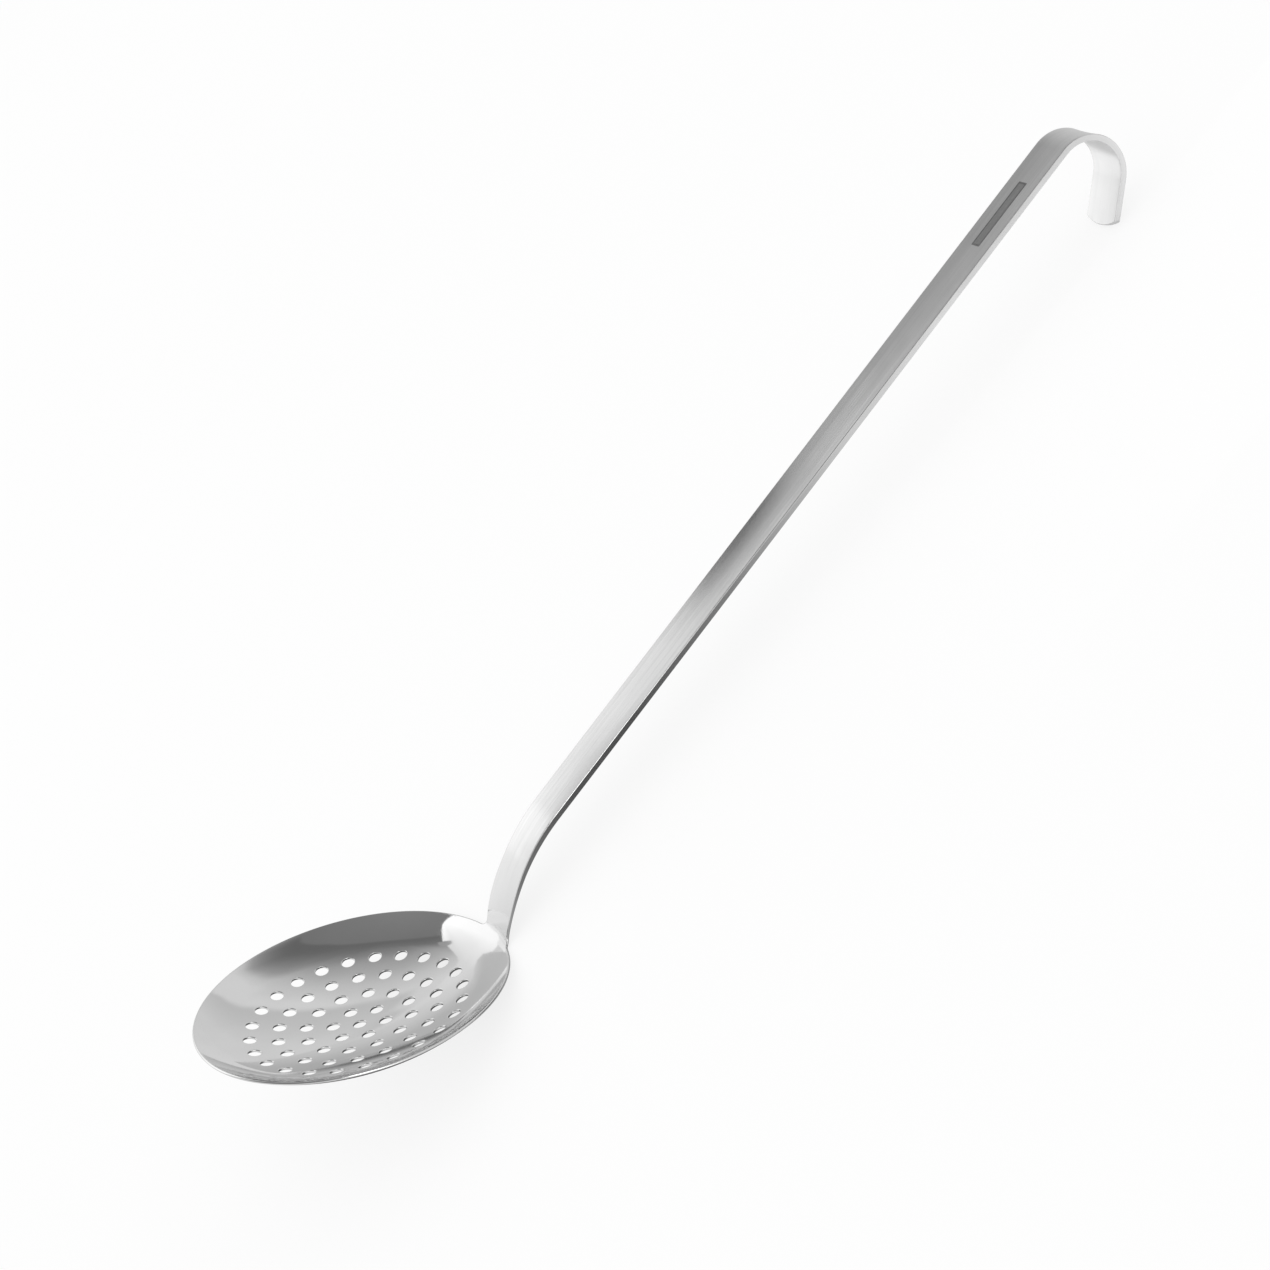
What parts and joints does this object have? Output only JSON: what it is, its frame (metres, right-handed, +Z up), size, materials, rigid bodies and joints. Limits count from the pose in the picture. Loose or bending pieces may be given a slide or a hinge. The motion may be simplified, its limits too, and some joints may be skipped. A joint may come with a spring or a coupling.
{
  "type": "skimmer",
  "caption": "One-piece metal skimmer with a round shallow perforated bowl, a flat straight handle and a curled hanging hook.",
  "frame": {"origin": "on the surface that the skimmer lies on, below the middle of its length, in its plane of symmetry", "axes": "+X along the length to the hook, +Y across the handle, +Z up as it lies with the bowl face up"},
  "size_m": [0.4801, 0.12, 0.0645],
  "materials": {
    "steel": "mirror-polished bowl, satin handle brushed along its length"
  },
  "bodies": {
    "root": {"skimmer": "steel"}
  },
  "joints": []
}
